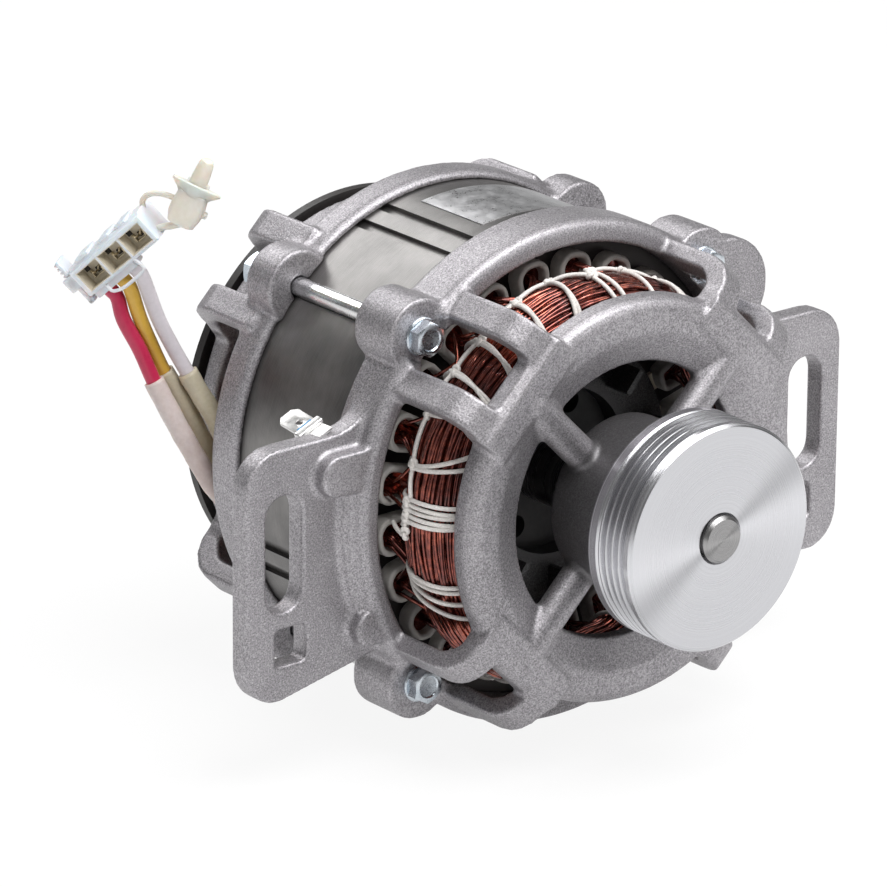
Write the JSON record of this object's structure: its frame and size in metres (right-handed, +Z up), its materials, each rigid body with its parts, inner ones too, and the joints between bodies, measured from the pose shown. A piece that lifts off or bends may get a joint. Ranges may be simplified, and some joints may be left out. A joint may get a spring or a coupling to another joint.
{
  "type": "washing machine motor",
  "caption": "Open-frame induction motor with a poly-V belt pulley, cast end shields, slotted mounting flanges, laced windings and a lead connector.",
  "frame": {"origin": "on the shaft axis, in the plane of the mounting flanges' front faces", "axes": "-Y along the shaft towards the pulley, +Z up, +X to the right seen from the pulley side"},
  "size_m": [0.1914, 0.1539, 0.1435],
  "materials": {
    "cast_aluminium": "shot-blasted casting, as cast",
    "stator_steel": "bare laminations, axial weld grooves",
    "insulation": "cream polyester sheet",
    "copper": "enamelled copper wire, varnished",
    "lacing": "cream braided cord",
    "shaft_steel": "ground steel",
    "rotor_steel": "dark laminations",
    "rotor_aluminium": "as cast",
    "turned_aluminium": "bright turned",
    "bearing_steel": "ground steel",
    "fan_plastic": "black moulded plastic",
    "zinc_steel": "bright zinc plate",
    "tinned_brass": "tinned brass",
    "label_foil": "plain silver foil",
    "red_insulation": "crimson sheath",
    "yellow_insulation": "yellow sheath",
    "white_insulation": "grey-white sheath",
    "sleeving": "cream varnished sleeving",
    "white_nylon": "natural white nylon",
    "terminal_brass": "tinned brass",
    "cream_nylon": "natural nylon"
  },
  "bodies": {
    "motor_frame": {"front_end_shield": "cast_aluminium", "front_ring": "cast_aluminium", "front_bearing_hub": "cast_aluminium", "left_flange": "cast_aluminium", "right_flange": "cast_aluminium", "rear_end_shield": "cast_aluminium", "rear_bearing_hub": "cast_aluminium", "stator_core": "stator_steel", "slot_liners": "insulation", "slot_coils": "copper", "slot_wedges": "insulation", "front_winding_core": "copper", "front_winding": "copper", "front_lacing": "lacing", "rear_winding_core": "copper", "rear_winding": "copper", "rear_lacing": "lacing", "front_bearing_outer": "bearing_steel", "front_bearing_shields": "bearing_steel", "rear_bearing_outer": "bearing_steel", "rear_bearing_shields": "bearing_steel", "wave_washer": "bearing_steel", "through_bolts": "zinc_steel", "bolt_nuts": "zinc_steel", "earth_tab": "tinned_brass", "label_plate": "label_foil", "lead_red": "red_insulation", "lead_yellow": "yellow_insulation", "lead_white": "white_insulation", "sleeve_red": "sleeving", "sleeve_yellow": "sleeving", "sleeve_white": "sleeving", "connector_housing": "white_nylon", "connector_terminals": "terminal_brass", "push_clip": "cream_nylon", "clip_strands": "cream_nylon"},
    "rotor": {"shaft": "shaft_steel", "rotor_core": "rotor_steel", "front_rotor_ring": "rotor_aluminium", "rear_rotor_ring": "rotor_aluminium", "pulley": "turned_aluminium", "front_bearing_inner": "bearing_steel", "rear_bearing_inner": "bearing_steel", "cooling_fan": "fan_plastic", "fan_circlip": "bearing_steel"},
    "front_ball_set": {"front_bearing_balls": "bearing_steel"},
    "rear_ball_set": {"rear_bearing_balls": "bearing_steel"},
    "latch": {"connector_latch": "white_nylon"}
  },
  "joints": [
    {"name": "rotor_spin", "type": "hinge", "parent": "motor_frame", "child": "rotor", "pos_m": [0, 0, 0], "axis": [0, -1, 0], "continuous": true},
    {"name": "front_balls_spin", "type": "hinge", "parent": "motor_frame", "child": "front_ball_set", "pos_m": [0, -0.033, 0], "axis": [0, -1, 0], "continuous": true},
    {"name": "rear_balls_spin", "type": "hinge", "parent": "motor_frame", "child": "rear_ball_set", "pos_m": [0, 0.068, 0], "axis": [0, -1, 0], "continuous": true},
    {"name": "latch_rock", "type": "hinge", "parent": "motor_frame", "child": "latch", "pos_m": [-0.08421, 0.08384, 0.04468], "axis": [0.7681, 0.6383, 0.051], "range_deg": [0, 8], "stiffness_Nm_per_rad": 0.02}
  ],
  "couplings": [
    {"joint": "front_balls_spin", "follows": "rotor_spin", "ratio": 0.3636},
    {"joint": "rear_balls_spin", "follows": "rotor_spin", "ratio": 0.3636}
  ]
}
